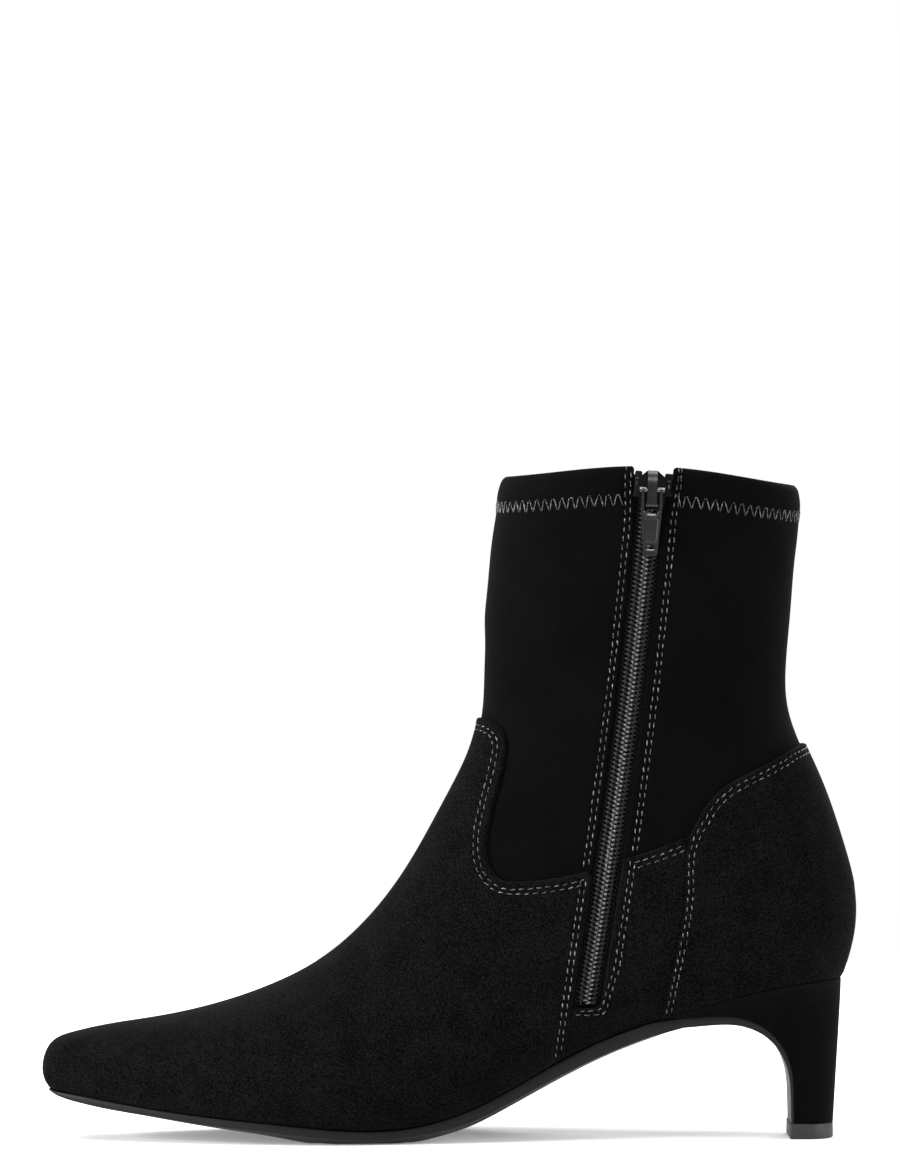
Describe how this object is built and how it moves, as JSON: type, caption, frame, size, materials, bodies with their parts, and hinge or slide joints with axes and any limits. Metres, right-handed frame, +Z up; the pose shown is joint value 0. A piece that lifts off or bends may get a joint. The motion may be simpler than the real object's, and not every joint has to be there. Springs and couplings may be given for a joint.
{
  "type": "heeled ankle boot",
  "caption": "Heeled ankle boot for the right foot: suede foot, stretch shaft with an inside zip and swinging pull tab, thin sole and slim covered heel.",
  "frame": {"origin": "middle of the boot's box, on the floor plane that the forefoot and the heel stand on", "axes": "+Z up, toe along -X, heel along +X, the inside of the foot (zip side) along -Y"},
  "size_m": [0.26, 0.0825, 0.2136],
  "materials": {
    "stretch_cloth": "black stretch suede cloth",
    "suede": "black brushed suede",
    "insole_cloth": "black, matt",
    "sole_rubber": "black, satin",
    "zip_cloth": "black woven tape",
    "zip_plastic": "black, glossy",
    "black_metal": "black plated, glossy"
  },
  "bodies": {
    "boot": {"upper": "stretch_cloth", "vamp": "suede", "inner_quarter": "suede", "outer_quarter": "suede", "counter": "suede", "heel": "suede", "insole": "insole_cloth", "outsole": "sole_rubber", "top_piece": "sole_rubber", "zip_tape_front": "zip_cloth", "zip_tape_back": "zip_cloth", "zip_coil_front": "zip_plastic", "zip_coil_back": "zip_plastic", "zip_slider": "black_metal"},
    "pull_tab": {"zip_pull": "black_metal"}
  },
  "joints": [
    {"name": "pull_swing", "type": "hinge", "parent": "boot", "child": "pull_tab", "pos_m": [0.06346, -0.03924, 0.206], "axis": [-0.9994, 0, 0.0349], "range_deg": [0, 165]}
  ]
}
